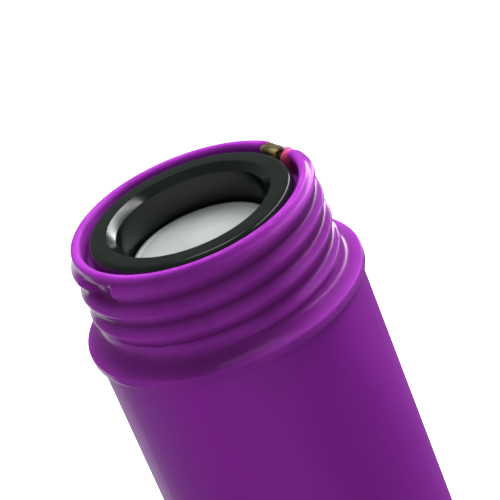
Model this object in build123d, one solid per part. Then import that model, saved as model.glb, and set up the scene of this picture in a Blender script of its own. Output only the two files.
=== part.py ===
from build123d import *
import os
import math

# Light-up juggling club, standing on its wide head with the open handle end up.
# Units are millimetres. +Z runs along the club's axis from the head to the open neck.
# A "drop" is a distance below the rim of the open neck.

# ---- driving dimensions -------------------------------------------------------------

club_length = 510.0

tube_radius = 15.5
tube_wall = 1.6
tube_length = 214.0

# threaded neck
neck_root_radius = 13.7
thread_height = 0.65
thread_pitch = 2.8
thread_base_width = 2.2
thread_bottom_drop = 9.9
thread_top_drop = 1.2
thread_clear_drop = 0.12
thread_gap_drop = 1.85
thread_gap_angle = -138.0
thread_gap_sweep = 20.0
lip_round = 0.5
lip_flat = 0.1
mouth_radius = 12.6
mouth_depth = 2.6
shoulder_top_drop = 9.3
shoulder_lead = 1.1
flange_top_drop = 11.57
flange_side = 1.25
flange_lip = 0.65
spigot_length = 18.0

# the way for the contact through the rim and down the neck's bore
notch_angle = 26.0
notch_width = 5.0
notch_depth = 1.2
channel_depth = 1.0

# single lithium cell, 17 mm class
cell_diameter = 16.9
cell_can_length = 33.5
cell_top_drop = 4.7
cell_wrap_wall = 0.2
cell_button_radius = 3.0
cell_button_height = 1.0

# battery sleeve
sleeve_clearance = 0.2
sleeve_wall = 3.15
sleeve_top_drop = 0.2
sleeve_round = 0.8
mouth_chamfer = 0.85
assembly_gap = 0.05

# bottom contact
plate_radius = 5.0
plate_thickness = 0.5
spring_height = 6.0
spring_wire = 0.8
spring_turns = 3.5
spring_base_radius = 6.5
spring_top_radius = 3.6
base_thickness = 4.0
rivet_radius = 1.2
rivet_head_radius = 2.0
rivet_head_height = 0.6

# contact strip and lead
strip_width = 2.9
strip_thickness = 0.4
strip_side_gap = 0.1
lead_radius = 0.5
lead_side_gap = 0.2

# driver
driver_gap = 13.0
board_thickness = 1.6
board_radius = 10.5
mount_length = 16.0

# head
bulb_radius = 44.0
bulb_belly_height = 128.0
bulb_end_radius = 29.0
bulb_wall = 1.2
bulb_rim = 4.0
bulb_neck_overlap = 18.0
collar_wall = 2.2
collar_length = 13.0
cap_height = 10.0
cap_radius = 31.0
cap_round = 4.0
cap_floor = 4.0
plug_flange = 3.0
plug_spigot = 14.0

# light core
core_radius = 6.0
core_wall = 1.0
core_end_gap = 4.0
core_lift = 2.0
bushing_length = 16.0
strip_count = 3
lights_per_strip = 4
light_spacing = 46.0
light_first_height = 62.0
light_board_width = 8.0
light_board_thickness = 1.0
light_size = 3.6
light_height = 1.4

# head fastening
screw_radius = 2.0
screw_head_radius = 4.4
screw_head_height = 2.8
screw_length = 20.0
washer_radius = 7.5
washer_thickness = 1.0

# ---- sizes worked out from the driving dimensions --------------------------------------

tube_bore = tube_radius - tube_wall
spigot_radius = tube_bore - assembly_gap
flange_bottom_drop = flange_top_drop + flange_side
flange_radius = tube_radius + flange_lip
cell_radius = cell_diameter / 2
sleeve_bore = cell_radius + sleeve_clearance
sleeve_radius = sleeve_bore + sleeve_wall
neck_bore = sleeve_radius + assembly_gap
channel_radius = neck_bore + channel_depth
strip_offset = (notch_width - strip_width) / 2 - strip_side_gap

can_bottom_drop = cell_top_drop + cell_can_length
button_bottom_drop = can_bottom_drop + cell_button_height
plate_bottom_drop = button_bottom_drop + plate_thickness
base_top_drop = plate_bottom_drop + spring_height
sleeve_bottom_drop = base_top_drop + base_thickness
board_top_drop = sleeve_bottom_drop + driver_gap
board_bottom_drop = board_top_drop + board_thickness
tube_bottom_height = club_length - flange_bottom_drop - tube_length

bulb_bottom_height = cap_height + plug_flange
bulb_neck_height = tube_bottom_height + bulb_neck_overlap
bulb_neck_inner = tube_radius + assembly_gap
bulb_neck_outer = bulb_neck_inner + bulb_wall
core_top_height = club_length - board_bottom_drop - core_end_gap
well_top = cap_height - cap_floor
core_bottom_height = well_top + core_lift
screw_seat = well_top - washer_thickness
core_bore = core_radius - core_wall


def at_drop(drop):
    """Height of a point that lies this far below the rim."""
    return club_length - drop


def rod(radius, bottom, top):
    """Upright cylinder on the axis between two heights."""
    solid = Cylinder(radius, top - bottom, align=(Align.CENTER, Align.CENTER, Align.MIN))
    return Pos(0, 0, bottom) * solid


def ring(outer, inner, bottom, top):
    """Upright tube on the axis between two heights."""
    return rod(outer, bottom, top) - rod(inner, bottom - 1, top + 1)


def turned(outline):
    """Solid of revolution about Z from a closed outline in the XZ plane."""
    return revolve(Plane.XZ * make_face(outline), axis=Axis.Z)


def save(name, solid):
    """Write one node."""
    solid.label = name
    export_step(solid, "parts/" + name + ".step")


# ---- neck -------------------------------------------------------------------------------


def neck_body():
    """Plain turned body of the neck: rounded lip, root cylinder, shoulder, flange, spigot."""
    rim = at_drop(0)
    slope = math.sqrt(0.5)
    rounding = min(lip_round, (neck_root_radius - mouth_radius - lip_flat) / 2)
    outer_centre = neck_root_radius - rounding
    inner_centre = mouth_radius + rounding
    spigot_bottom = at_drop(flange_bottom_drop + spigot_length)
    mouth_bottom = at_drop(mouth_depth)
    flange_bottom = at_drop(flange_bottom_drop)
    flange_top = at_drop(flange_top_drop)
    shoulder_top = at_drop(shoulder_top_drop)
    outline = [
        Line((neck_bore, spigot_bottom), (spigot_radius, spigot_bottom)),
        Line((spigot_radius, spigot_bottom), (spigot_radius, flange_bottom)),
        Line((spigot_radius, flange_bottom), (flange_radius, flange_bottom)),
        Line((flange_radius, flange_bottom), (flange_radius, flange_top)),
        Bezier(
            (flange_radius, flange_top),
            (flange_radius - shoulder_lead, flange_top + shoulder_lead * 0.4),
            (neck_root_radius, shoulder_top - shoulder_lead),
            (neck_root_radius, shoulder_top),
        ),
        Line((neck_root_radius, shoulder_top), (neck_root_radius, rim - rounding)),
        ThreePointArc(
            (neck_root_radius, rim - rounding),
            (outer_centre + rounding * slope, rim - rounding + rounding * slope),
            (outer_centre, rim),
        ),
        Line((outer_centre, rim), (inner_centre, rim)),
        ThreePointArc(
            (inner_centre, rim),
            (inner_centre - rounding * slope, rim - rounding + rounding * slope),
            (mouth_radius, rim - rounding),
        ),
        Line((mouth_radius, rim - rounding), (mouth_radius, mouth_bottom)),
        Line((mouth_radius, mouth_bottom), (neck_bore, mouth_bottom)),
        Line((neck_bore, mouth_bottom), (neck_bore, spigot_bottom)),
    ]
    return turned(outline)


def thread_envelope():
    """Space that the thread may fill: rounded over at the top like the lip."""
    outer = neck_root_radius + 2 * thread_height
    bottom = at_drop(flange_bottom_drop)
    top = at_drop(thread_clear_drop)
    lip_centre = neck_root_radius - lip_round
    outline = [
        Line((neck_bore, bottom), (outer, bottom)),
        Line((outer, bottom), (outer, at_drop(2 * thread_top_drop))),
        Bezier(
            (outer, at_drop(2 * thread_top_drop)),
            (neck_root_radius + thread_height, at_drop(0.5 * thread_top_drop)),
            (neck_root_radius, top),
            (lip_centre, top),
        ),
        Line((lip_centre, top), (neck_bore, top)),
        Line((neck_bore, top), (neck_bore, bottom)),
    ]
    return turned(outline)


def thread_gap():
    """Sector outside the root where the top turn is interrupted, ending in a blunt start."""
    half = thread_pitch / 2
    middle = at_drop(thread_gap_drop)
    band = ring(flange_radius, neck_root_radius, middle - half, middle + half)
    sector = extrude(
        make_face(
            Polyline(
                (0, 0),
                (club_length, 0),
                (club_length, club_length * math.tan(math.radians(thread_gap_sweep))),
                (0, 0),
            )
        ),
        club_length,
    )
    return band & Rot(0, 0, thread_gap_angle - thread_gap_sweep) * sector


def neck_thread():
    """Rounded right-hand thread that rises into the lip and runs out in the shoulder."""
    embed = 0.2
    path_radius = neck_root_radius - embed
    rise = thread_bottom_drop - thread_top_drop
    path = Helix(thread_pitch, rise, path_radius)
    half = thread_base_width / 2
    crest = embed + thread_height
    section = [
        ThreePointArc((0, -half), (crest, 0), (0, half)),
        Line((0, half), (0, -half)),
    ]
    face = Plane(origin=(path_radius, 0, 0), x_dir=(1, 0, 0), z_dir=(0, -1, 0)) * make_face(section)
    thread = sweep(face, path=path, is_frenet=True)
    below_gap = thread_bottom_drop - thread_gap_drop
    start_angle = thread_gap_angle - 360 * below_gap / thread_pitch
    placed = Pos(0, 0, at_drop(thread_bottom_drop)) * Rot(0, 0, start_angle) * thread
    return (placed & thread_envelope()) - thread_gap()


def channel_cut():
    """Straight slot down the neck's bore for the strip and the lead, with the rim notch on top."""
    bottom = at_drop(flange_bottom_drop + spigot_length) - 1
    low_align = (Align.MIN, Align.CENTER, Align.MIN)
    groove = Box(channel_radius, notch_width, club_length + 1 - bottom, align=low_align)
    notch = Box(flange_radius + 1, notch_width, notch_depth + 1, align=low_align)
    cut = Pos(0, 0, bottom) * groove + Pos(0, 0, at_drop(notch_depth)) * notch
    return Rot(0, 0, notch_angle) * cut


def threaded_neck():
    return neck_body() + neck_thread() - channel_cut()


def handle_tube():
    top = at_drop(flange_bottom_drop)
    return ring(tube_radius, tube_bore, tube_bottom_height, top)


# ---- battery sleeve and contacts --------------------------------------------------------------


def battery_sleeve():
    """Black sleeve with a chamfered mouth that the cell drops into and a rounded outer edge."""
    slope = math.sqrt(0.5)
    top = at_drop(sleeve_top_drop)
    bottom = at_drop(sleeve_bottom_drop)
    centre = sleeve_radius - sleeve_round
    outline = [
        Line((sleeve_bore, bottom), (sleeve_radius, bottom)),
        Line((sleeve_radius, bottom), (sleeve_radius, top - sleeve_round)),
        ThreePointArc(
            (sleeve_radius, top - sleeve_round),
            (centre + sleeve_round * slope, top - sleeve_round + sleeve_round * slope),
            (centre, top),
        ),
        Line((centre, top), (sleeve_bore + mouth_chamfer, top)),
        Line((sleeve_bore + mouth_chamfer, top), (sleeve_bore, top - mouth_chamfer)),
        Line((sleeve_bore, top - mouth_chamfer), (sleeve_bore, bottom)),
    ]
    return turned(outline)


def sleeve_base():
    top = at_drop(base_top_drop)
    bottom = at_drop(sleeve_bottom_drop)
    radius = sleeve_bore - assembly_gap
    return ring(radius, rivet_radius + assembly_gap, bottom, top)


def spring_rivet():
    top = at_drop(base_top_drop)
    bottom = at_drop(sleeve_bottom_drop)
    shank = rod(rivet_radius, bottom - rivet_head_height, top + rivet_head_height)
    upper = rod(rivet_head_radius, top, top + rivet_head_height)
    lower = rod(rivet_head_radius, bottom - rivet_head_height, bottom)
    return shank + upper + lower


def contact_spring():
    """Conical coil spring between the base and the contact plate."""
    half_wire = spring_wire / 2
    rise = spring_height - spring_wire
    lean = math.degrees(math.atan((spring_base_radius - spring_top_radius) / rise))
    path = Helix(rise / spring_turns, rise, spring_base_radius, cone_angle=-lean)
    start = Plane(origin=path @ 0, z_dir=path % 0)
    coil = sweep(start * Circle(half_wire), path=path, is_frenet=True)
    return Pos(0, 0, at_drop(base_top_drop) + half_wire) * coil


def contact_plate():
    bottom = at_drop(plate_bottom_drop)
    return rod(plate_radius, bottom, bottom + plate_thickness)


def contact_strip():
    """Strip that runs up the neck's channel and is folded back on itself in the rim notch."""
    leg_inner = neck_bore + (channel_depth - strip_thickness) / 2
    leg_bottom = at_drop(sleeve_bottom_drop + 3)
    fold_bottom = at_drop(notch_depth - assembly_gap)
    fold_top = at_drop(0.1)
    fold_length = neck_root_radius - 0.15 - leg_inner
    low_align = (Align.MIN, Align.CENTER, Align.MIN)
    leg = Box(strip_thickness, strip_width, fold_bottom + strip_thickness - leg_bottom, align=low_align)
    lower = Box(fold_length, strip_width, strip_thickness, align=low_align)
    end = Box(strip_thickness, strip_width, fold_top - fold_bottom, align=low_align)
    upper = Box(fold_length - 0.1, strip_width, strip_thickness, align=low_align)
    strip = Pos(leg_inner, 0, leg_bottom) * leg + Pos(leg_inner, 0, fold_bottom) * lower
    strip += Pos(leg_inner + fold_length - strip_thickness, 0, fold_bottom) * end
    strip += Pos(leg_inner + 0.1, 0, fold_top - strip_thickness) * upper
    return Rot(0, 0, notch_angle) * Pos(0, strip_offset, 0) * strip


def contact_lead():
    """Insulated lead beside the strip, from the rim notch down the channel."""
    offset = notch_width / 2 - lead_radius - lead_side_gap
    height = at_drop(notch_depth) + lead_radius + assembly_gap
    inner = channel_radius - lead_radius - 2 * assembly_gap
    bend = lead_radius * 1.1
    path = FilletPolyline(
        (inner + bend + 0.1, 0, height),
        (inner, 0, height),
        (inner, 0, at_drop(sleeve_bottom_drop + 3)),
        radius=bend,
    )
    start = Plane(origin=path @ 0, z_dir=path % 0)
    lead = sweep(start * Circle(lead_radius), path=path)
    return Rot(0, 0, notch_angle) * Pos(0, -offset, 0) * lead


# ---- cell -------------------------------------------------------------------------------------


def cell_can():
    """Steel can with its flat end up."""
    radius = cell_radius - cell_wrap_wall
    top = at_drop(cell_top_drop)
    can = rod(radius, at_drop(can_bottom_drop) + 0.3, top)
    return fillet(can.edges().group_by(Axis.Z)[-1], 0.35)


def cell_wrap():
    """Thin plastic wrap that covers the can's side and folds under its lower edge."""
    top = at_drop(cell_top_drop) - 0.5
    bottom = at_drop(can_bottom_drop)
    side = ring(cell_radius, cell_radius - cell_wrap_wall, bottom, top)
    fold = ring(cell_radius, cell_radius - 1.6, bottom, bottom + 0.3)
    return side + fold


def cell_gasket():
    bottom = at_drop(can_bottom_drop)
    return ring(cell_radius - 1.6, cell_button_radius, bottom, bottom + 0.3)


def cell_button():
    bottom = at_drop(button_bottom_drop)
    return rod(cell_button_radius, bottom, at_drop(can_bottom_drop) + 0.3)


# ---- driver -------------------------------------------------------------------------------------


def driver_board():
    bottom = at_drop(board_bottom_drop)
    return rod(board_radius, bottom, bottom + board_thickness)


def driver_chip():
    chip = Box(5, 4, 1.5, align=(Align.CENTER, Align.CENTER, Align.MIN))
    return Pos(-4.5, 0, at_drop(board_top_drop)) * chip


def driver_coil():
    coil = ring(2.8, 1.0, at_drop(board_top_drop), at_drop(board_top_drop) + 3.2)
    return Pos(0, 5.6, 0) * coil


def driver_mount():
    """Stepped bush that carries the board and centres the light core in the handle."""
    top = at_drop(board_bottom_drop)
    body = ring(tube_bore - assembly_gap, core_radius + assembly_gap, top - mount_length, top)
    return body + ring(tube_bore - assembly_gap, board_radius + assembly_gap, top, top + board_thickness)


def wire(points, radius=0.6, bend=1.9):
    """Round wire along straight runs joined by tangent arcs."""
    path = FilletPolyline(*points, radius=bend)
    start = Plane(origin=path @ 0, z_dir=path % 0)
    return sweep(start * Circle(radius), path=path)


def wire_feed():
    top = at_drop(sleeve_bottom_drop) - rivet_head_height
    bottom = at_drop(board_top_drop)
    side = 4.5
    middle = (top + bottom) / 2
    return wire([(0, 0, top), (0, 0, middle + 1), (side, 0, middle - 3), (side, 0, bottom)])


def wire_return():
    """Short wire from the foot of the contact strip to the board."""
    radius = neck_bore + channel_depth / 2
    top = at_drop(sleeve_bottom_drop + 3)
    bottom = at_drop(board_top_drop)
    inner = board_radius - 2.5
    middle = (top + bottom) / 2
    route = [(radius, 0, top), (radius, 0, middle + 1), (inner, 0, middle - 2), (inner, 0, bottom)]
    run = wire(route, 0.5, 1.2)
    return Rot(0, 0, notch_angle) * Pos(0, strip_offset, 0) * run


def core_cable():
    """Two-core cable from the board down the light core."""
    bottom = light_first_height + light_spacing
    return rod(1.6, bottom, at_drop(board_bottom_drop))


# ---- light core ---------------------------------------------------------------------------------


def core_tube():
    return ring(core_radius, core_bore, core_bottom_height, core_top_height)


def core_plug():
    top = core_bottom_height + screw_length
    return ring(core_bore - assembly_gap, screw_radius + assembly_gap, core_bottom_height, top)


def core_bushing():
    """Bush that centres the core where the handle meets the head."""
    bottom = tube_bottom_height
    return ring(tube_bore - assembly_gap, core_radius + assembly_gap, bottom, bottom + bushing_length)


def light_board(index):
    length = light_spacing * (lights_per_strip - 1) + 24
    middle = light_first_height + light_spacing * (lights_per_strip - 1) / 2
    side_align = (Align.MIN, Align.CENTER, Align.CENTER)
    board = Box(light_board_thickness, light_board_width, length, align=side_align)
    placed = Pos(core_radius + assembly_gap, 0, middle) * board
    return Rot(0, 0, index * 360 / strip_count) * placed


def light(index, step):
    """One square light with a domed lens."""
    height = light_first_height + step * light_spacing
    face_radius = core_radius + assembly_gap + light_board_thickness
    base = Box(light_height / 2, light_size, light_size, align=(Align.MIN, Align.CENTER, Align.CENTER))
    lens = Rot(0, 90, 0) * rod(light_size * 0.42, 0, light_height)
    placed = Pos(face_radius, 0, height) * (base + lens)
    return Rot(0, 0, index * 360 / strip_count) * placed


# ---- head ---------------------------------------------------------------------------------------


def bulb_outline(inset, top, bottom):
    """Closed profile under the head's outer curve, moved in by the inset."""
    neck = bulb_neck_outer - inset
    belly = bulb_radius - inset
    end = bulb_end_radius - inset
    start = tube_bottom_height - 6
    rim = bulb_bottom_height + bulb_rim
    rise = start - bulb_belly_height
    fall = bulb_belly_height - rim
    upper = Bezier(
        (neck, start),
        (neck, start - rise * 0.42),
        (belly, bulb_belly_height + rise * 0.42),
        (belly, bulb_belly_height),
    )
    lower = Bezier(
        (belly, bulb_belly_height),
        (belly, bulb_belly_height - fall * 0.55),
        (end + (belly - end) * 0.55, rim + fall * 0.12),
        (end, rim),
    )
    return [
        Line((0, top), (neck, top)),
        Line((neck, top), (neck, start)),
        upper,
        lower,
        Line((end, rim), (end, bottom)),
        Line((end, bottom), (0, bottom)),
        Line((0, bottom), (0, top)),
    ]


def bulb_shell():
    outer = turned(bulb_outline(0, bulb_neck_height, bulb_bottom_height))
    inner = turned(bulb_outline(bulb_wall, bulb_neck_height + 1, bulb_bottom_height - 1))
    return outer - inner


def bulb_collar():
    bottom = bulb_neck_height
    body = ring(tube_radius + collar_wall, tube_radius + assembly_gap, bottom, bottom + collar_length)
    return chamfer(body.edges().group_by(Axis.Z)[-1].sort_by(SortBy.RADIUS)[-1], 1.6)


def top_plug():
    """Moulded disc that closes the head and holds the core."""
    flange = rod(bulb_end_radius, cap_height, bulb_bottom_height)
    spigot_outer = bulb_end_radius - bulb_wall - assembly_gap
    spigot = ring(spigot_outer, spigot_outer - 2.5, bulb_bottom_height, bulb_bottom_height + plug_spigot)
    hub = rod(core_radius + 3, bulb_bottom_height, bulb_bottom_height + plug_spigot)
    bore = rod(core_radius + assembly_gap, cap_height - 3, bulb_bottom_height + plug_spigot + 1)
    return flange + spigot + hub - bore


def top_cap():
    """Rubber end cap that the club stands on, with a well for the screw head."""
    body = rod(cap_radius, 0, cap_height)
    body = fillet(body.edges().group_by(Axis.Z)[0], cap_round)
    body = fillet(body.edges().group_by(Axis.Z)[-1], 1.0)
    well = rod(washer_radius + 1.0, -1, well_top)
    hole = rod(core_radius + assembly_gap, well_top - 1, cap_height + 1)
    return body - well - hole


def top_washer():
    return ring(washer_radius, screw_radius + assembly_gap, screw_seat, well_top)


def top_screw():
    """Round-headed screw with a cross recess, up through the washer into the core plug."""
    head_bottom = screw_seat - screw_head_height
    head = rod(screw_head_radius, head_bottom, screw_seat)
    head = fillet(head.edges().group_by(Axis.Z)[0], 1.4)
    shank = rod(screw_radius, screw_seat, screw_seat + screw_length)
    cross = Box(5.0, 1.0, 2.4) + Box(1.0, 5.0, 2.4)
    return head + shank - Pos(0, 0, head_bottom) * cross


# ---- build ----------------------------------------------------------------------------------------

os.makedirs("parts", exist_ok=True)

pieces = {
    "threaded_neck": threaded_neck,
    "handle_tube": handle_tube,
    "battery_sleeve": battery_sleeve,
    "sleeve_base": sleeve_base,
    "spring_rivet": spring_rivet,
    "contact_spring": contact_spring,
    "contact_plate": contact_plate,
    "contact_strip": contact_strip,
    "contact_lead": contact_lead,
    "cell_can": cell_can,
    "cell_wrap": cell_wrap,
    "cell_gasket": cell_gasket,
    "cell_button": cell_button,
    "driver_board": driver_board,
    "driver_chip": driver_chip,
    "driver_coil": driver_coil,
    "driver_mount": driver_mount,
    "wire_feed": wire_feed,
    "wire_return": wire_return,
    "core_cable": core_cable,
    "core_tube": core_tube,
    "core_plug": core_plug,
    "core_bushing": core_bushing,
    "bulb_shell": bulb_shell,
    "bulb_collar": bulb_collar,
    "top_plug": top_plug,
    "top_cap": top_cap,
    "top_washer": top_washer,
    "top_screw": top_screw,
}

for name, make in pieces.items():
    save(name, make())

for index in range(strip_count):
    save("light_board_" + str(index + 1), light_board(index))
    for step in range(lights_per_strip):
        save("light_" + str(index + 1) + "_" + str(step + 1), light(index, step))
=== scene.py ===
import bpy
import math
import numpy as np
from mathutils import Matrix, Vector


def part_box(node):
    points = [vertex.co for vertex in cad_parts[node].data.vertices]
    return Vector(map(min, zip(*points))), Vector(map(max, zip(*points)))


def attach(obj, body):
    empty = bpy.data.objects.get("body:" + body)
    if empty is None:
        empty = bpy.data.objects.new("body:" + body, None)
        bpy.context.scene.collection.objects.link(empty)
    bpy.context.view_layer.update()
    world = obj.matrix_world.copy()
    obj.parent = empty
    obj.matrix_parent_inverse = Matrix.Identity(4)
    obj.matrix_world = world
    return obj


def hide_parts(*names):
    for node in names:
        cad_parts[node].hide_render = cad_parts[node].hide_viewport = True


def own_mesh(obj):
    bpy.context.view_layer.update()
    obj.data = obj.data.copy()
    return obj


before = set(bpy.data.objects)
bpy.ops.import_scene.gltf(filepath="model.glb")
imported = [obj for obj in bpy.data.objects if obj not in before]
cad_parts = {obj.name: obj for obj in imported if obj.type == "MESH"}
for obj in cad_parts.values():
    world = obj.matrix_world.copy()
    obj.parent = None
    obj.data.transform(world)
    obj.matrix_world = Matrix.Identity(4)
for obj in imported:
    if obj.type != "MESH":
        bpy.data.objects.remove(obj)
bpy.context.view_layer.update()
scene = bpy.context.scene
scene.view_settings.view_transform = "Standard"
mm = 0.001


def spanOf(node):
    # a node's outer radius, bottom and top, in millimetres
    low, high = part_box(node)
    return high[0] / mm, low[2] / mm, high[2] / mm


rim = spanOf("threaded_neck")[2]

view = {
    "place": (0.0045, -0.2049, 0.0971),  # from the middle of the rim
    "right": (0.9258, -0.1723, -0.3365),
    "forward": (0.0, 0.8901, -0.4558),
    "lens": 151.2,
}


def makeCamera(setting):
    data = bpy.data.cameras.new("camera")
    data.lens = setting["lens"]
    data.sensor_width = 36
    data.clip_start = 0.01
    data.clip_end = 50
    camera = bpy.data.objects.new("camera", data)
    scene.collection.objects.link(camera)
    forward = Vector(setting["forward"]).normalized()
    right = Vector(setting["right"])
    right = (right - right.dot(forward) * forward).normalized()
    up = right.cross(forward)
    turn = Matrix((right, up, -forward)).transposed().to_4x4()
    camera.matrix_world = Matrix.Translation(Vector(setting["place"]) + Vector((0, 0, rim * mm))) @ turn
    scene.camera = camera


stage = {
    "floorSize": 9.0,
    "floorColour": (0.93, 0.93, 0.93, 1),
    "floorGlow": 1.02,
    "backdropRadius": 4.4,
    "worldColour": (1.0, 1.0, 1.0, 1),
    "worldStrength": 0.17,
}


def makeStage(setting):
    # a floor and a plain dome over it, both pale; they don't throw light on the object
    half = setting["floorSize"] / 2
    mesh = bpy.data.meshes.new("floor")
    corners = [(-half, -half, 0), (half, -half, 0), (half, half, 0), (-half, half, 0)]
    mesh.from_pydata(corners, [], [(0, 1, 2, 3)])
    floor = bpy.data.objects.new("floor", mesh)
    up = np.linspace(0, math.pi / 2 - 0.01, 17)
    arc = np.stack((np.cos(up), np.sin(up)), axis=1) * setting["backdropRadius"]
    columns = 48
    mesh = bpy.data.meshes.new("backdrop")
    faces = gridFaces(len(arc), columns, closeRows=False)
    mesh.from_pydata(turnedPoints(arc, columns).tolist(), [], faces.tolist())
    backdrop = bpy.data.objects.new("backdrop", mesh)
    paint = bpy.data.materials.new("floorPaint")
    paint.use_nodes = True
    shader = paint.node_tree.nodes["Principled BSDF"]
    shader.inputs["Base Color"].default_value = setting["floorColour"]
    shader.inputs["Roughness"].default_value = 0.9
    shader.inputs["Emission Color"].default_value = (1, 1, 1, 1)
    shader.inputs["Emission Strength"].default_value = setting["floorGlow"]
    for piece in (floor, backdrop):
        piece.data.materials.append(paint)
        scene.collection.objects.link(piece)
        piece.visible_diffuse = False
        piece.visible_glossy = False
        piece.visible_shadow = False
    world = bpy.data.worlds.new("studio")
    world.use_nodes = True
    background = world.node_tree.nodes["Background"]
    background.inputs["Color"].default_value = setting["worldColour"]
    background.inputs["Strength"].default_value = setting["worldStrength"]
    scene.world = world


# each light: where it stands from the middle of the rim, its sides, its power, and whether it fills the
# shadows or only makes gloss; along is the direction of its first side
lights = {
    "keySoftbox": {"at": (0.52, 0.30, 0.44), "sides": (0.45, 0.45), "power": 8.2, "acts": "fill"},
    "topSoftbox": {"at": (0.05, 0.42, 0.60), "sides": (0.6, 0.6), "power": 8.0, "acts": "fill"},
    "frontSoftbox": {"at": (-0.05, -0.75, 0.2), "sides": (0.9, 0.9), "power": 2.8, "acts": "fill"},
    "leftSoftbox": {"at": (-0.70, 0.15, -0.15), "sides": (0.5, 0.5), "power": 1.9, "acts": "fill"},
    "highSoftbox": {"at": (0.05, 0.15, 0.80), "sides": (0.35, 0.35), "power": 0.7, "acts": "gloss"},
    "edgeStrip": {"at": (0.85, 0.30, 0.03), "sides": (2.2, 0.035), "power": 1.9, "acts": "gloss",
                  "along": (0.29, -0.88, 0.37)},
    "arcStrip": {"at": (0.64, 0.43, 0.46), "sides": (1.5, 0.05), "power": 2.5, "acts": "gloss",
                 "along": (0.114, -0.804, 0.584)},
    "lowSoftbox": {"at": (-0.36, 0.62, -0.38), "sides": (0.6, 0.5), "power": 0.9, "acts": "gloss"},
}


def makeLights(table):
    target = Vector((0, 0, rim * mm - 0.01))
    for name, light in table.items():
        data = bpy.data.lights.new(name, "AREA")
        data.shape = "RECTANGLE"
        data.size, data.size_y = light["sides"]
        data.energy = light["power"]
        lamp = bpy.data.objects.new(name, data)
        scene.collection.objects.link(lamp)
        lamp.location = Vector(light["at"]) + Vector((0, 0, rim * mm))
        back = (lamp.location - target).normalized()
        along = Vector(light.get("along", (back.y, -back.x, 0)))  # level, when none is given
        along = (along - along.dot(back) * back).normalized()
        lamp.rotation_euler = Matrix((along, back.cross(along), back)).transposed().to_euler()
        lamp.visible_camera = False
        lamp.visible_glossy = light["acts"] == "gloss"
        lamp.visible_diffuse = light["acts"] == "fill"


class Expr:
    # a socket that takes part in sums
    def __init__(self, shade, socket):
        self.shade = shade
        self.socket = socket

    def op(self, kind, *others):
        return self.shade.node("ShaderNodeMath", {"operation": kind}, dict(enumerate((self,) + others)))

    def __add__(self, other):
        return self.op("ADD", other)

    def __mul__(self, other):
        return self.op("MULTIPLY", other)


class Shade:
    # one material: its node tree, its principled shader and the ways to add nodes
    def __init__(self, name, **constants):
        self.material = bpy.data.materials.new(name)
        self.material.use_nodes = True
        self.tree = self.material.node_tree
        self.shader = self.tree.nodes["Principled BSDF"]
        self.coords = None
        self.set(**constants)

    def put(self, socket, value):
        if isinstance(value, Expr):
            self.tree.links.new(value.socket, socket)
        elif isinstance(value, tuple) and len(value) == 3 and len(socket.default_value) == 4:
            socket.default_value = value + (1.0,)
        else:
            socket.default_value = value

    def set(self, **values):
        # baseColor becomes the input Base Color, and so on
        for key, value in values.items():
            words = "".join(" " + c if c.isupper() else c for c in key).title().strip()
            self.put(self.shader.inputs["Specular IOR Level" if key == "specular" else words], value)

    def node(self, kind, settings=None, inputs=None, out=0):
        made = self.tree.nodes.new(kind)
        for key, value in (settings or {}).items():
            setattr(made, key, value)
        for key, value in (inputs or {}).items():
            self.put(made.inputs[key], value)
        return Expr(self, made.outputs[out])

    def place(self):
        if self.coords is None:
            self.coords = self.node("ShaderNodeTexCoord", None, None, "Object")
        return self.coords

    def stretch(self, scale):
        return self.node("ShaderNodeMapping", None, {"Vector": self.place(), "Scale": scale})

    def noise(self, scale, detail, where=None):
        ins = {"Vector": where or self.place(), "Scale": scale, "Detail": detail}
        return self.node("ShaderNodeTexNoise", None, ins, "Fac")

    def layer(self, name):
        # a value stored on the piece's points
        return self.node("ShaderNodeAttribute", {"attribute_name": name}, None, "Fac")

    def axes(self):
        split = self.node("ShaderNodeSeparateXYZ", None, {"Vector": self.place()}, "X")
        made = split.socket.node
        return tuple(Expr(self, made.outputs[k]) for k in ("X", "Y", "Z"))

    def span(self, value, low, high, toLow=0.0, toHigh=1.0):
        ins = {"Value": value, "From Min": low, "From Max": high, "To Min": toLow, "To Max": toHigh}
        return self.node("ShaderNodeMapRange", {"interpolation_type": "SMOOTHSTEP"}, ins, "Result")

    def mix(self, factor, first, second):
        made = self.tree.nodes.new("ShaderNodeMix")
        made.data_type = "RGBA"
        self.put(made.inputs["Factor"], factor)
        self.put(made.inputs[6], first)
        self.put(made.inputs[7], second)
        return Expr(self, made.outputs[2])

    def bump(self, height, strength, distance):
        ins = {"Height": height, "Strength": strength, "Distance": distance}
        self.set(normal=self.node("ShaderNodeBump", None, ins, "Normal"))


def addPiece(name, points, faces, paint, body, node, layers=None):
    # a mesh piece that rides on a body and takes a node's place; layers are values on its points
    mesh = bpy.data.meshes.new(name)
    mesh.vertices.add(len(points))
    mesh.vertices.foreach_set("co", np.ascontiguousarray(points, dtype=np.float32).ravel())
    mesh.loops.add(faces.size)
    mesh.loops.foreach_set("vertex_index", faces.ravel().astype(np.int32))
    mesh.polygons.add(len(faces))
    mesh.polygons.foreach_set("loop_start", np.arange(0, faces.size, faces.shape[1], dtype=np.int32))
    mesh.update(calc_edges=True)
    mesh.validate()
    mesh.polygons.foreach_set("use_smooth", np.ones(len(mesh.polygons), bool))
    mesh.materials.append(paint.material)
    for key, value in (layers or {}).items():
        layer = mesh.attributes.new(key, "FLOAT", "POINT")
        layer.data.foreach_set("value", np.ascontiguousarray(value, dtype=np.float32).ravel())
    piece = bpy.data.objects.new(name, mesh)
    scene.collection.objects.link(piece)
    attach(piece, body)
    if node:
        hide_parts(node)
    return piece


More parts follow.
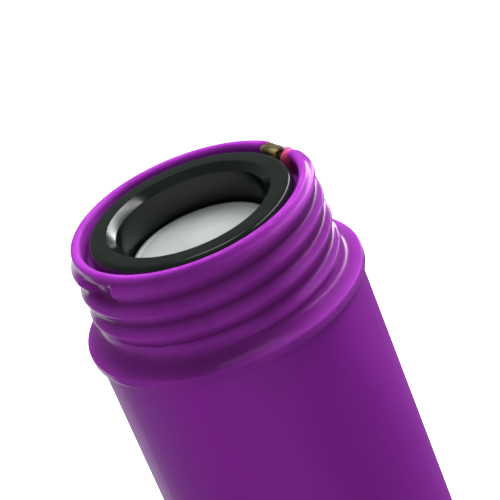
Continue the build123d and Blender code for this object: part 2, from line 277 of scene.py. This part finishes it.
def gridFaces(rows, columns, closeRows=True):
    # quads of a grid of points, wrapped round the columns and, where asked, round the rows
    i, j = np.meshgrid(np.arange(rows if closeRows else rows - 1), np.arange(columns), indexing="ij")
    nextI = (i + 1) % rows
    nextJ = (j + 1) % columns
    corners = (i * columns + j, i * columns + nextJ, nextI * columns + nextJ, nextI * columns + j)
    return np.stack(corners, axis=-1).reshape(-1, 4)


def smoothStep(x, low, high):
    t = np.clip((x - low) / (high - low), 0, 1)
    return t * t * (3 - 2 * t)


def roundedLoop(corners, steps=7, closed=True):
    # each corner (radius, height, round) becomes an arc tangent to its two sides:
    # the arc's middle lies on the corner's bisector, at round / sin(half the angle)
    count = len(corners)
    out = []
    for index, (x, z, r) in enumerate(corners):
        here = np.array((x, z))
        if r == 0 or (not closed and index in (0, count - 1)):
            out.append(here[None, :])
            continue
        before = np.array(corners[index - 1][:2]) - here
        after = np.array(corners[(index + 1) % count][:2]) - here
        before = before / np.linalg.norm(before)
        after = after / np.linalg.norm(after)
        half = math.acos(np.clip(np.dot(before, after), -1, 1)) / 2
        middle = here + (before + after) / np.linalg.norm(before + after) * r / math.sin(half)
        first = here + before * r / math.tan(half) - middle
        last = here + after * r / math.tan(half) - middle
        t = np.linspace(0, 1, steps)[:, None]
        arc = first * (1 - t) + last * t
        arc = arc / np.linalg.norm(arc, axis=1)[:, None] * r
        out.append(middle + arc)
    return np.vstack(out)


def turnedPoints(profile, columns):
    # a profile of (radius, height) carried round Z: x = r cos a, y = r sin a
    a = np.linspace(0, 2 * math.pi, columns, endpoint=False)
    r = profile[:, 0][:, None]
    z = np.repeat(profile[:, 1][:, None], columns, axis=1)
    return np.stack((r * np.cos(a), r * np.sin(a), z), axis=-1).reshape(-1, 3)


def turnedPiece(name, corners, paint, body="club", node=None, columns=160, steps=7):
    # closed outline of (radius, height, round) corners, in millimetres, turned about the axis
    profile = roundedLoop(corners, steps) * mm
    faces = gridFaces(len(profile), columns)[:, ::-1]
    addPiece(name, turnedPoints(profile, columns), faces, paints[paint], body, node)


def ringPiece(node, inner, paint, body="club", soft=0.15):
    # plain ring the size of a node, with softened edges
    outer, bottom, top = spanOf(node)
    name = "".join(word.title() if k else word for k, word in enumerate(node.split("_")))
    corners = [(outer, bottom, soft), (outer, top, soft), (inner, top, soft), (inner, bottom, soft)]
    turnedPiece(name, corners, paint, body, node, columns=128, steps=5)


def solidPiece(name, corners, paint, body, node, columns=128):
    # open outline that starts and ends on the axis, turned; the two end rings are too small to see
    profile = roundedLoop(corners, closed=False) * mm
    profile[:, 0] = np.maximum(profile[:, 0], 1e-6)
    faces = gridFaces(len(profile), columns, closeRows=False)[:, ::-1]
    addPiece(name, turnedPoints(profile, columns), faces, paints[paint], body, node)


def framesAlong(path, aside):
    # unit side and up vectors square to a path's tangent; the side is also square to the aside vector
    path = np.asarray(path, float)
    tangent = np.gradient(path, axis=0)
    tangent /= np.linalg.norm(tangent, axis=1)[:, None]
    side = np.cross(tangent, np.array(aside))
    side /= np.linalg.norm(side, axis=1)[:, None]
    return side, np.cross(tangent, side)


def sweptPiece(name, path, half, paint, aside, node=None, sides=20, power=1.0, swell=None):
    # superellipse carried along a path: side * a |cos t|^p + up * b |sin t|^p, closed at both ends
    side, up = framesAlong(path, aside)
    t = np.linspace(0, 2 * math.pi, sides, endpoint=False)
    u = half[0] * np.sign(np.cos(t)) * np.abs(np.cos(t)) ** power
    v = half[1] * np.sign(np.sin(t)) * np.abs(np.sin(t)) ** power
    size = np.ones(len(path)) if swell is None else np.asarray(swell, float)
    size = np.concatenate(((1e-3,), size, (1e-3,)))[:, None, None]
    path = np.vstack((path[:1], path, path[-1:]))
    side = np.vstack((side[:1], side, side[-1:]))
    up = np.vstack((up[:1], up, up[-1:]))
    offset = side[:, None, :] * u[None, :, None] + up[:, None, :] * v[None, :, None]
    points = (path[:, None, :] + offset * size) * mm
    faces = gridFaces(len(path), sides, closeRows=False)
    return addPiece(name, points.reshape(-1, 3), faces, paints[paint], "club", node)


makeCamera(view)
makeStage(stage)
makeLights(lights)
print("camera, floor and lights are set")


def waxyPurple():
    # painted shade: the base colour is darker in the grooves between the turns, in the pocket and halfway
    # down the shoulder
    shade = Shade("waxyPurple", specular=0.2, subsurfaceWeight=0.7, subsurfaceScale=0.002)
    shade.put(shade.shader.inputs["Subsurface Radius"], (1.0, 0.25, 1.0))
    shade.put(shade.shader.inputs["Specular Tint"], (1.0, 0.5, 1.0, 1.0))
    cloud = shade.noise(150, 3)
    fine = shade.noise(1100, 2)
    plain = shade.mix(shade.span(cloud, 0.3, 0.7), (0.26, 0.028, 0.33), (0.31, 0.038, 0.39))
    shade.set(baseColor=shade.mix(shade.layer("hollow"), plain, (0.14, 0.012, 0.165)))
    shade.set(roughness=shade.span(cloud + fine * 0.4, 0.5, 0.95, 0.12, 0.18))
    shade.bump(cloud, 0.15, 0.00003)
    return shade


def satinPurple():
    # drawn tube: the grain is long along the axis
    shade = Shade("satinPurple", specular=0.32)
    cloud = shade.noise(1.0, 3, where=shade.stretch((70, 70, 22)))
    drawn = shade.noise(1.0, 3, where=shade.stretch((1500, 1500, 40)))
    fine = shade.noise(1500, 2)
    shade.set(baseColor=shade.mix(shade.span(cloud, 0.3, 0.7), (0.235, 0.011, 0.32), (0.30, 0.017, 0.40)))
    shade.set(roughness=shade.span(drawn, 0.3, 0.7, 0.36, 0.46))
    shade.bump(drawn * 0.5 + fine * 0.3, 0.2, 0.00003)
    return shade


def headPurple():
    # blown plastic: cloudy, with a fine mould line down both sides where y is nearly 0
    shade = Shade("headPurple", specular=0.45, subsurfaceWeight=0.15, subsurfaceScale=0.003)
    shade.put(shade.shader.inputs["Subsurface Radius"], (1.0, 0.3, 1.0))
    cloud = shade.noise(30, 4)
    fine = shade.noise(900, 2)
    y = shade.axes()[1]
    seam = shade.span(y.op("ABSOLUTE"), 0.0001, 0.0005, 1.0, 0.0)
    shade.set(baseColor=shade.mix(shade.span(cloud, 0.3, 0.7), (0.23, 0.014, 0.31), (0.29, 0.024, 0.385)))
    shade.set(roughness=shade.span(cloud + fine * 0.3, 0.45, 0.85, 0.3, 0.42))
    shade.bump(seam + fine * 0.06 + cloud * 0.2, 0.35, 0.0002)
    return shade


def glossBlack():
    # moulded and polished, with faint turning marks
    shade = Shade("glossBlack", specular=0.6)
    cloud = shade.noise(300, 3)
    turned = shade.noise(1.0, 2, where=shade.stretch((60, 60, 5000)))
    blotch = shade.span(cloud, 0.3, 0.7)
    shade.set(baseColor=shade.mix(blotch, (0.0025, 0.005, 0.004), (0.005, 0.009, 0.007)))
    shade.set(roughness=shade.span(cloud, 0.3, 0.7, 0.11, 0.19))
    shade.bump(cloud * 0.7 + turned * 0.3, 0.15, 0.00004)
    return shade


def platedSteel(name, tint, rough, metal=1.0):
    # metal with faint turning rings: the noise follows the distance from the axis
    shade = Shade(name, metallic=metal)
    x, y, z = shade.axes()
    radius = (x * x + y * y).op("SQRT")
    where = shade.node("ShaderNodeCombineXYZ", None, {"X": radius * 9000.0, "Z": z * 400.0}, "Vector")
    rings = shade.noise(1.0, 2, where=where)
    cloud = shade.noise(220, 3)
    dark = tuple(c * 0.86 for c in tint)
    shade.set(baseColor=shade.mix(shade.span(cloud, 0.3, 0.7), dark, tint))
    shade.set(roughness=shade.span(rings, 0.3, 0.7, rough - 0.05, rough + 0.05))
    shade.bump(rings, 0.12, 0.00002)
    return shade


def dullBrass():
    # blotched between tarnish and bright metal
    shade = Shade("dullBrass", metallic=0.75)
    cloud = shade.noise(700, 4)
    shade.set(baseColor=shade.mix(shade.span(cloud, 0.35, 0.65), (0.20, 0.15, 0.05), (0.52, 0.43, 0.18)))
    shade.set(roughness=shade.span(cloud, 0.3, 0.7, 0.28, 0.5))
    shade.bump(cloud, 0.3, 0.00008)
    return shade


def softPlastic(name, dark, light, rough, scale=200, depth=0.00005, gloss=0.5, glow=0.0):
    # clouded colour between dark and light, with a fine grain
    shade = Shade(name, specular=gloss)
    cloud = shade.noise(scale, 4)
    fine = shade.noise(scale * 12, 2)
    shade.set(baseColor=shade.mix(shade.span(cloud, 0.3, 0.7), dark, light))
    shade.set(roughness=shade.span(fine, 0.3, 0.7, rough[0], rough[1]))
    shade.set(subsurfaceWeight=glow, subsurfaceScale=0.001)
    shade.bump(fine, 0.3, depth)
    return shade


paints = {
    "neck": waxyPurple(),
    "tube": satinPurple(),
    "head": headPurple(),
    "sleeve": glossBlack(),
    "steel": platedSteel("platedSteel", (0.44, 0.47, 0.455), 0.42, 0.35),
    "spring": platedSteel("springSteel", (0.66, 0.66, 0.67), 0.28),
    "aluminium": platedSteel("drawnAluminium", (0.74, 0.75, 0.76), 0.34),
    "brass": dullBrass(),
    "tin": platedSteel("tinnedWire", (0.82, 0.80, 0.74), 0.2),
    "lead": softPlastic("redInsulation", (0.46, 0.03, 0.12), (0.66, 0.08, 0.22), (0.22, 0.32), glow=0.2),
    "lump": softPlastic("fixingLump", (0.62, 0.08, 0.26), (0.78, 0.22, 0.45), (0.2, 0.3), glow=0.4),
    "blackLead": softPlastic("blackInsulation", (0.01, 0.01, 0.01), (0.02, 0.02, 0.02), (0.3, 0.4)),
    "black": softPlastic("mouldedBlack", (0.012, 0.012, 0.014), (0.022, 0.022, 0.025), (0.38, 0.55)),
    "rubber": softPlastic("capRubber", (0.014, 0.014, 0.015), (0.03, 0.03, 0.031), (0.6, 0.78), scale=120,
                          depth=0.0001, gloss=0.35),
    "wrap": softPlastic("cellWrap", (0.02, 0.05, 0.05), (0.03, 0.065, 0.065), (0.22, 0.3)),
    "white": softPlastic("mouldedWhite", (0.62, 0.62, 0.58), (0.7, 0.7, 0.67), (0.4, 0.55)),
    "board": softPlastic("boardGreen", (0.01, 0.10, 0.04), (0.015, 0.15, 0.06), (0.3, 0.4)),
    "lightBoard": softPlastic("boardWhite", (0.7, 0.7, 0.68), (0.78, 0.78, 0.76), (0.35, 0.45)),
    "lens": softPlastic("lightLens", (0.75, 0.66, 0.3), (0.85, 0.78, 0.42), (0.12, 0.2)),
    "ferrite": softPlastic("coilFerrite", (0.03, 0.03, 0.032), (0.06, 0.06, 0.062), (0.5, 0.65)),
}
print("materials are made")


neck = {
    "root": 13.7,
    "threadHeight": 0.65,
    "pitch": 2.8,
    "crestPower": 1.3,
    "crestRound": 0.16,
    "bottomDrop": 9.4,
    "gapDrop": 1.85,
    "gapAngle": -138.0,
    "gapSweep": 20.0,
    "gapDepth": 0.85,
    "gapSoft": 0.02,  # of a turn, where the thread runs out into the gap
    "startSoft": 0.009,  # of a turn, at the thread's blunt start
    "pocketDrop": 2.6,
    "pocketHalf": (0.7, 1.4),
    "lipFade": (-0.4, 1.0),  # drops between which the turns grow out of the lip
    "lipClear": (0.08, 0.9),
    "footFade": 1.2,
    "lipRound": 0.52,
    "mouth": 12.6,
    "mouthDrop": 2.6,
    "bore": 11.85,
    "shoulderDrop": 9.3,
    "shoulderLead": 1.1,
    # depth of the painted shade halfway down the shoulder
    "shoulderShade": 0.7,
    "flange": 16.15,
    "flangeDrop": 11.57,
    "flangeBottomDrop": 12.82,
    "spigot": 13.85,
    "spigotDrop": 30.82,
    "notchAngle": 26.0,
    "notchWidth": 5.0,
    "notchDepth": 1.2,
    "notchSoft": 0.22,
    "channel": 12.85,
    "lipSteps": 13,  # points of each quarter of the lip
    "wallSteps": 92,
    "shoulderSteps": 32,
}


def curveBetween(a, b, c, d, steps):
    # cubic curve: a (1-t)^3 + 3 b t (1-t)^2 + 3 c t^2 (1-t) + d t^3
    t = np.linspace(0, 1, steps)[:, None]
    a, b, c, d = (np.array(p, float) for p in (a, b, c, d))
    return a * (1 - t) ** 3 + 3 * b * t * (1 - t) ** 2 + 3 * c * t * t * (1 - t) + d * t ** 3


def neckProfile(size):
    # closed outline of (radius, drop): up the bore, over the lip, down the outside, back along the spigot
    lip = size["lipRound"]
    inside = roundedLoop([(size["bore"], size["spigotDrop"], 0), (size["bore"], size["mouthDrop"], 0.1),
                          (size["mouth"], size["mouthDrop"], 0.1), (size["mouth"], lip + 0.02, 0)],
                         4, closed=False)
    quarter = np.linspace(0, math.pi / 2, size["lipSteps"])
    inner = np.stack((size["mouth"] + lip * (1 - np.cos(quarter)), lip * (1 - np.sin(quarter))), 1)
    outer = np.stack((size["root"] - lip + lip * np.sin(quarter), lip * (1 - np.cos(quarter))), 1)
    wallDrop = np.linspace(lip, size["shoulderDrop"], size["wallSteps"] + 2)[1:-1]
    wall = np.stack((np.full(len(wallDrop), size["root"]), wallDrop), 1)
    lead = size["shoulderLead"]
    top = (size["root"], size["shoulderDrop"])
    edge = (size["flange"] - 0.1, size["flangeDrop"])
    shoulder = curveBetween(top, (size["root"], size["shoulderDrop"] + lead),
                            (size["flange"] - lead, size["flangeDrop"] - lead * 0.4),
                            edge, size["shoulderSteps"])
    flange = roundedLoop([edge + (0,), (size["flange"], size["flangeDrop"] + 0.16, 0.1),
                          (size["flange"], size["flangeBottomDrop"], 0.4),
                          (size["spigot"], size["flangeBottomDrop"], 0),
                          (size["spigot"], size["spigotDrop"], 0.2)], 8, closed=False)[1:]
    return np.vstack((inside, inner, outer, wall, shoulder, flange)), len(inside) + len(inner)


def threadLift(size, angle, drop):
    # right-hand helix: crest drop = gap drop - pitch * turn + pitch * k. Across the pitch the height is
    # (1 - w) ^ power, with w the rounded distance from the crest. It fades into the lip and the shoulder,
    # and is cut back to a pocket in one sector of the top turn
    turn = np.mod(angle - size["gapAngle"], 360.0) / 360.0
    phase = (drop - size["gapDrop"]) / size["pitch"] + turn
    k = np.round(phase)
    crestDrop = size["gapDrop"] + size["pitch"] * (k - turn)
    crisp = size["crestRound"]
    w = np.sqrt((2 * (phase - k)) ** 2 + crisp ** 2) - crisp
    shape = np.clip(1 - w / (math.sqrt(1 + crisp ** 2) - crisp), 0, 1) ** size["crestPower"]
    foot = 1 - smoothStep(crestDrop, size["bottomDrop"], size["bottomDrop"] + size["footFade"])
    fade = smoothStep(crestDrop, *size["lipFade"]) * foot
    left = 1 - size["gapSweep"] / 360.0
    gap = smoothStep(turn, left - size["gapSoft"], left) * (1 - smoothStep(turn, 1 - size["startSoft"], 1))
    pocket = gap * (1 - smoothStep(np.abs(drop - size["pocketDrop"]), *size["pocketHalf"]))
    top = crestDrop < size["gapDrop"] + size["pitch"] * 0.5
    keep = np.where(top, 1 - gap, 1.0) * (1 - pocket)
    # painted shade, strongest in the grooves between the turns and in the pocket
    hollow = np.maximum((1 - shape) ** 2 * fade, pocket)
    return size["threadHeight"] * shape * fade * keep - size["gapDepth"] * pocket, hollow


def neckAngles(size):
    # even columns, with more at the notch's two sides and at the thread's blunt start
    side = np.arange(8.6, 13.4, 0.16)
    start = size["gapAngle"] + np.arange(-1.6, 1.2, 0.14)
    even = np.arange(-180, 180, 1.5)
    every = np.concatenate((even, size["notchAngle"] + side, size["notchAngle"] - side, start))
    return np.unique(np.round(every, 3))


def makeNeck(size):
    profile, insideRows = neckProfile(size)
    angle = neckAngles(size)
    row = np.arange(len(profile))[:, None]
    r = np.repeat(profile[:, 0][:, None], len(angle), axis=1)
    drop = np.repeat(profile[:, 1][:, None], len(angle), axis=1)
    a = np.repeat(angle[None, :], len(profile), axis=0)
    lift, hollow = threadLift(size, a, drop)
    start = smoothStep(drop, *size["lipClear"])
    lift = lift * start
    wallEnd = insideRows + size["lipSteps"] + size["wallSteps"]
    onWall = (row >= insideRows) & (row < wallEnd)
    onShoulder = (row >= wallEnd) & (row < wallEnd + size["shoulderSteps"])
    # the shoulder's painted shade is deepest halfway: its depth * sin(pi t)
    sweep = np.clip((row - wallEnd) / size["shoulderSteps"], 0, 1)
    # painted shade between the turns, fading out above the shoulder
    betweenTurns = hollow * start * (1 - smoothStep(drop, size["shoulderDrop"] - 0.7, size["shoulderDrop"]))
    hollow = np.where(onWall, betweenTurns, size["shoulderShade"] * np.sin(math.pi * sweep))
    r = np.where(onWall, r + lift, np.where(onShoulder, np.maximum(r, size["root"] + lift), r))
    # the notch and the channel: |r sin(angle from the notch)| under half the width
    across = np.abs(r * np.sin(np.radians(a - size["notchAngle"])))
    ahead = np.cos(np.radians(a - size["notchAngle"])) > 0
    half = size["notchWidth"] / 2
    soft = size["notchSoft"]
    slot = (1 - smoothStep(across, half - soft, half + soft)) * ahead
    channel = (1 - smoothStep(across, half - 0.06, half + 0.06)) * ahead
    r = np.where(row < insideRows, r + channel * np.maximum(size["channel"] - r, 0), r)
    drop = np.where(drop < size["notchDepth"], drop + slot * (size["notchDepth"] - drop), drop)
    a = np.radians(a)
    points = np.stack((r * np.cos(a), r * np.sin(a), rim - drop), axis=-1) * mm
    faces = gridFaces(len(profile), len(angle))[:, ::-1]
    layers = {"hollow": hollow}
    addPiece("neck", points.reshape(-1, 3), faces, paints["neck"], "club", "threaded_neck", layers)


makeNeck(neck)
print("the neck is made")


sleeve = {"bore": 8.65, "chamfer": 0.85, "shoulder": 0.8, "tubeWall": 1.6}


def tubeAndSleeve(size):
    outer, bottom, top = spanOf("handle_tube")
    inner = outer - size["tubeWall"]
    corners = [(outer, bottom, 0.2), (outer, top, 0.15), (inner, top, 0.1), (inner, bottom, 0.1)]
    turnedPiece("handleTube", corners, "tube", node="handle_tube", columns=220)
    outer, bottom, top = spanOf("battery_sleeve")
    corners = [(outer, bottom, 0.2), (outer, top, size["shoulder"]),
               (size["bore"] + size["chamfer"], top, 0.09),
               (size["bore"], top - size["chamfer"], 0.1), (size["bore"], bottom, 0.2)]
    turnedPiece("batterySleeve", corners, "sleeve", node="battery_sleeve", columns=220, steps=10)


tubeAndSleeve(sleeve)
print("the handle tube and the sleeve are made")


contact = {
    "turn": math.radians(26.0),
    "stripOffset": 0.95,
    "stripHalf": (0.17, 1.42),
    "legRadius": 12.55,
    "legDrop": 52.4,
    "foldOut": 13.35,
    "floorDrop": 0.93,
    "topDrop": 0.32,
    "tipRadius": 12.08,
    "tipDrop": 1.3,
    "leadOffset": -1.8,
    "leadRadius": 0.5,
    "leadIn": 12.25,
    "leadEnd": 13.1,
    "leadEndDrop": 0.66,
    "leadBend": 0.55,
    "strandFrom": 13.15,
    "strandIn": 0.75,
    "strandDrop": 0.5,
    "strandRise": 0.36,
    "strandReach": 3.2,
    "strandHalf": 0.14,
    "lumpFrom": (12.7, 0.78),
    "lumpTo": (13.75, 0.72),
    "lumpShift": 0.35,
    "lumpHalf": (0.66, 1.05),
}


def notchPath(corners, offset):
    # (radius, drop, round) corners in the notch's own plane, set to one side by the offset
    flat = roundedLoop(corners, 8, closed=False)
    turn = contact["turn"]
    x = flat[:, 0] * math.cos(turn) - offset * math.sin(turn)
    y = flat[:, 0] * math.sin(turn) + offset * math.cos(turn)
    return np.stack((x, y, rim - flat[:, 1]), axis=1)


def contactPieces(size):
    # the strip comes up the channel, folds out over the notch's floor and back in over the sleeve
    strip = notchPath([(size["legRadius"], size["legDrop"], 0), (size["legRadius"], size["floorDrop"], 0.3),
                       (size["foldOut"], size["floorDrop"], 0.29), (size["foldOut"], size["topDrop"], 0.29),
                       (size["tipRadius"], size["topDrop"] + 0.02, 0.25),
                       (size["tipRadius"], size["tipDrop"], 0)], size["stripOffset"])
    aside = (-math.sin(size["turn"]), math.cos(size["turn"]), 0.02)
    sweptPiece("contactStrip", strip, size["stripHalf"], "brass", aside, node="contact_strip", sides=32,
               power=0.35)
    leadPath = notchPath([(size["leadIn"], size["legDrop"], 0),
                          (size["leadIn"], size["leadEndDrop"], size["leadBend"]),
                          (size["leadEnd"], size["leadEndDrop"], 0)], size["leadOffset"])
    sweptPiece("contactLead", leadPath, (size["leadRadius"], size["leadRadius"]), "lead", aside,
               node="contact_lead")
    # a bared strand from the lead's end over the strip: it rises by the strand's rise * sin(1.5 pi t)
    # until that is 1, and then runs level
    t = np.linspace(0, 1, 24)
    lift = size["strandRise"] * np.sin(math.pi * np.minimum(t * 1.5, 0.5))
    away = size["strandFrom"] - size["strandIn"] * t
    aslant = size["leadOffset"] + size["strandReach"] * t
    cosine, sine = math.cos(size["turn"]), math.sin(size["turn"])
    strand = np.stack((away * cosine - aslant * sine, away * sine + aslant * cosine,
                       rim - size["strandDrop"] + lift), axis=1)
    half = size["strandHalf"]
    sweptPiece("bareStrand", strand, (half, half), "tin", (0.0, 0.0, 1.0), sides=12)
    # soft lump where the lead is fixed: a sweep that swells and closes like a drop
    t = np.linspace(-1, 1, 17)
    offset = size["leadOffset"] + size["lumpShift"]
    lump = notchPath([size["lumpFrom"] + (0,), size["lumpTo"] + (0,)], offset)
    lump = lump[0] + (lump[1] - lump[0]) * ((t + 1) / 2)[:, None]
    sweptPiece("fixingLump", lump, size["lumpHalf"], "lump", aside, sides=24,
               swell=np.sqrt(np.maximum(1 - t * t, 1e-4)))


contactPieces(contact)
print("the rim contact is made")


cell = {"wrap": 0.2, "roll": 0.4, "groove": 0.85, "grooveDepth": 0.07, "foldIn": 1.6, "buttonRadius": 3.0}


def cellPieces(size):
    outer, bottom, top = spanOf("cell_can")
    lid = outer - size["groove"]
    corners = [(0, top - 0.02, 0), (lid - 0.25, top - 0.02, 0.1), (lid, top - size["grooveDepth"], 0.1),
               (lid + 0.2, top, 0.08), (outer, top, size["roll"]), (outer, bottom, 0.3), (0, bottom, 0)]
    solidPiece("cellCan", corners, "steel", "cell", "cell_can", 160)
    outer, bottom, top = spanOf("cell_wrap")
    inner = outer - size["wrap"]
    corners = [(outer, bottom, 0.15), (outer, top, 0.09), (inner, top, 0.06), (inner, bottom + 0.3, 0),
               (outer - size["foldIn"], bottom + 0.3, 0.05), (outer - size["foldIn"], bottom, 0.05)]
    turnedPiece("cellWrap", corners, "wrap", "cell", "cell_wrap", 160)
    ringPiece("cell_gasket", size["buttonRadius"], "white", "cell", 0.06)
    outer, bottom, top = spanOf("cell_button")
    corners = [(0, top, 0), (outer, top, 0.05), (outer, bottom, 0.25), (0, bottom, 0)]
    solidPiece("cellButton", corners, "steel", "cell", "cell_button")
    outer, bottom, top = spanOf("contact_plate")
    corners = [(0, top, 0), (outer, top, 0.12), (outer, bottom, 0.12), (0, bottom, 0)]
    solidPiece("contactPlate", corners, "brass", "contact", "contact_plate")


cellPieces(cell)
print("the cell is made")


innerRings = {
    "coreHole": 6.05,
    "coreBore": 5.0,
    "rivet": 1.25,
    "mountSeat": 10.55,
    "seatDepth": 1.6,
    "screw": 2.05,
}


def innerPieces(size):
    ringPiece("sleeve_base", size["rivet"], "black")
    ringPiece("core_tube", size["coreBore"], "aluminium", soft=0.2)
    ringPiece("core_plug", size["screw"], "aluminium", soft=0.3)
    ringPiece("core_bushing", size["coreHole"], "white", soft=0.4)
    ringPiece("top_washer", size["screw"], "spring", soft=0.12)
    outer, bottom, top = spanOf("driver_mount")
    step = top - size["seatDepth"]
    corners = [(outer, bottom, 0.4), (outer, top, 0.3), (size["mountSeat"], top, 0.15),
               (size["mountSeat"], step, 0.1), (size["coreHole"], step, 0.3),
               (size["coreHole"], bottom, 0.4)]
    turnedPiece("driverMount", corners, "white", node="driver_mount", columns=128)


innerPieces(innerRings)
print("the inner rings are made")


spring = {"wire": 0.4, "turns": 3.5, "low": 6.5, "high": 3.6, "height": 6.0, "travel": 2.0}


def springPiece(size):
    # cone coil: r = low + (high - low) t, angle = turns t, height = rise t
    top = spanOf("contact_plate")[1]
    bottom = top - size["height"]
    t = np.linspace(0, 1, 260)
    a = 2 * math.pi * size["turns"] * t
    r = size["low"] + (size["high"] - size["low"]) * t
    z = bottom + size["wire"] + (top - bottom - 2 * size["wire"]) * t
    path = np.stack((r * np.cos(a), r * np.sin(a), z), axis=1)
    coil = sweptPiece("contactSpring", path, (size["wire"], size["wire"]), "spring", (0.0, 0.0, 1.0),
                      node="contact_spring", sides=14)
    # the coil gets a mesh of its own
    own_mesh(coil)


springPiece(spring)
print("the spring is made")


head = {
    "wall": 1.2,
    "belly": 44.0,
    "bellyHeight": 128.0,
    "end": 29.0,
    "rimHeight": 4.0,
    "neckStart": 277.18,
    "endPull": (0.55, 0.12),  # how far the curve leaves the end outwards and upwards, as shares
    "bellyPull": 0.55,
    "stemPull": 0.42,
    "bands": (0.45, 1.1),  # depth and half width of the grooves round the head
    "bandHeights": (262.0, 256.0, 44.0, 38.0),
}


def headCurve(size, inset, bottom, top):
    # outer curve of the head from its open end up to its neck, moved in by the inset
    neckRadius = spanOf("handle_tube")[0] + 0.05 + size["wall"] - inset
    belly = size["belly"] - inset
    end = size["end"] - inset
    low = bottom + size["rimHeight"]
    rise = size["neckStart"] - size["bellyHeight"]
    fall = size["bellyHeight"] - low
    outward, upward = size["endPull"]
    middle = size["bellyHeight"]
    lower = curveBetween((end, low), (end + (belly - end) * outward, low + fall * upward),
                         (belly, middle - fall * size["bellyPull"]), (belly, middle), 70)
    upper = curveBetween((belly, middle), (belly, middle + rise * size["stemPull"]),
                         (neckRadius, size["neckStart"] - rise * size["stemPull"]),
                         (neckRadius, size["neckStart"]), 90)
    foot = np.stack((np.full(5, end), np.linspace(bottom, low, 6)[:-1]), 1)
    stem = np.stack((np.full(16, neckRadius), np.linspace(size["neckStart"], top, 17)[1:]), 1)
    return np.vstack((foot, lower, upper[1:], stem))


def headPieces(size):
    bottom, top = spanOf("bulb_shell")[1:]
    outside = headCurve(size, 0.0, bottom, top)
    depth, width = size["bands"]
    # each groove is a dip of depth * (1 + cos) / 2 across its width
    for height in size["bandHeights"]:
        away = np.clip(np.abs(outside[:, 1] - height) / width, 0, 1)
        outside[:, 0] -= depth * (1 + np.cos(math.pi * away)) / 2
    inside = headCurve(size, size["wall"], bottom, top)[::-1]
    profile = np.vstack((outside, inside)) * mm
    columns = 192
    faces = gridFaces(len(profile), columns)[:, ::-1]
    addPiece("headShell", turnedPoints(profile, columns), faces, paints["head"], "club", "bulb_shell")


headPieces(head)

collar = {"bore": 15.55, "chamfer": 1.5, "grooves": 3, "grooveDepth": 0.45, "grooveHalf": (0.5, 0.25)}


def collarPiece(size):
    outer, bottom, top = spanOf("bulb_collar")
    corners = [(size["bore"], bottom, 0.1), (outer, bottom, 0.25)]
    pitch = (top - bottom - size["chamfer"]) / (size["grooves"] + 1)
    deep = outer - size["grooveDepth"]
    wide, narrow = size["grooveHalf"]
    for k in range(size["grooves"]):
        middle = bottom + pitch * (k + 1)
        corners += [(outer, middle - wide, 0.15), (deep, middle - narrow, 0.1),
                    (deep, middle + narrow, 0.1), (outer, middle + wide, 0.15)]
    corners += [(outer, top - size["chamfer"], 0.3), (outer - size["chamfer"], top, 0.2),
                (size["bore"], top, 0.1)]
    turnedPiece("headCollar", corners, "black", node="bulb_collar", columns=160)


collarPiece(collar)

cap = {
    "bore": 6.05,
    "well": 8.5,
    "wellTop": 6.0,
    "round": 4.0,
    "ribs": 60,
    "ribDepth": 0.5,
    "ribFoot": (3.0, 4.5),  # heights between which the ribs start, and between which they end
    "ribHead": (8.2, 9.2),
    "rings": (12.0, 15.0, 18.0, 21.0, 24.0),
    "ringDepth": 0.5,
    "ringHalf": (0.6, 0.3),
}


def capPiece(size):
    outer, bottom, top = spanOf("top_cap")
    corners = [(size["bore"], size["wellTop"], 0.2), (size["well"], size["wellTop"], 0.2),
               (size["well"], bottom, 0.5)]
    deep = bottom + size["ringDepth"]
    wide, narrow = size["ringHalf"]
    for r in size["rings"]:
        corners += [(r - wide, bottom, 0.2), (r - narrow, deep, 0.1), (r + narrow, deep, 0.1),
                    (r + wide, bottom, 0.2)]
    corners += [(outer, bottom, size["round"]), (outer, top, 1.0), (size["bore"], top, 0.2)]
    profile = roundedLoop(corners, 7)
    columns = 480
    points = turnedPoints(profile * mm, columns).reshape(len(profile), columns, 3)
    # finger ribs on the side: the radius dips by depth * (1 - cos(ribs * angle)) / 2 between the rounds
    a = np.linspace(0, 2 * math.pi, columns, endpoint=False)
    height = profile[:, 1]
    side = smoothStep(height, *size["ribFoot"]) * (1 - smoothStep(height, *size["ribHead"]))
    side = side * (profile[:, 0] > outer - 1.2)
    dip = size["ribDepth"] * (1 - np.cos(size["ribs"] * a)) / 2
    scale = 1 - side[:, None] * dip[None, :] / outer
    points[:, :, :2] *= scale[:, :, None]
    faces = gridFaces(len(profile), columns)
    addPiece("endCap", points.reshape(-1, 3), faces, paints["rubber"], "club", "top_cap")


capPiece(cap)

plug = {"bore": 6.05, "hub": 9.0, "spigot": 27.75, "wall": 2.5, "flange": 3.0}


def plugPiece(size):
    outer, bottom, top = spanOf("top_plug")
    seat = bottom + size["flange"]
    inside = size["spigot"] - size["wall"]
    corners = [(size["bore"], bottom, 0.2), (outer, bottom, 0.4), (outer, seat, 0.3),
               (size["spigot"], seat, 0.1), (size["spigot"], top, 0.5), (inside, top, 0.4),
               (inside, seat, 0.6), (size["hub"], seat, 0.6), (size["hub"], top, 0.5),
               (size["bore"], top, 0.3)]
    turnedPiece("endPlug", corners, "black", node="top_plug", columns=160)


plugPiece(plug)
print("the head, the collar, the cap and the plug are made")


keptNodes = {
    "spring_rivet": "brass", "driver_board": "board", "driver_chip": "black",
    "driver_coil": "ferrite", "wire_feed": "lead", "wire_return": "blackLead", "core_cable": "blackLead",
    "top_screw": "spring",
}


def paintKept(table):
    for name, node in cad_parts.items():
        if name.startswith("light_board"):
            paint = "lightBoard"
        elif name.startswith("light_"):
            paint = "lens"
        else:
            paint = table.get(name)
        if paint is None:
            continue
        node.data.materials.clear()
        node.data.materials.append(paints[paint].material)


paintKept(keptNodes)
print("the inner pieces are painted")
